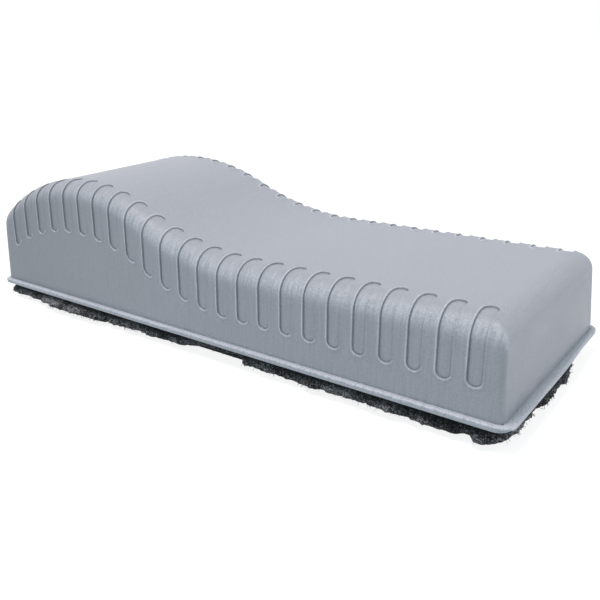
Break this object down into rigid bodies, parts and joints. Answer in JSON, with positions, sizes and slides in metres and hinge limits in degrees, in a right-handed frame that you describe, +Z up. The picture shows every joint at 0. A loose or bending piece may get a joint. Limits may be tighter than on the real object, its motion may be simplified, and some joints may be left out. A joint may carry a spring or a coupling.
{
  "type": "chalkboard eraser",
  "caption": "Chalkboard eraser: hollow wave-topped plastic handle with grip slots down both long sides, on a felt wiping pad.",
  "frame": {"origin": "middle of the felt's wiping face, in the plane that the eraser rests on", "axes": "+Z up, X along the length with the hump toward -X and the low end toward +X, Y across the width"},
  "size_m": [0.145, 0.0516, 0.0343],
  "materials": {
    "handle_plastic": "satin grey-blue, fine texture",
    "base_plastic": "satin grey-blue",
    "adhesive": "thin hot-melt film",
    "felt": "mottled dark needled felt"
  },
  "bodies": {
    "root": {"handle_shell": "handle_plastic", "base_plate": "base_plastic", "adhesive_film": "adhesive", "felt_pad": "felt"}
  },
  "joints": []
}
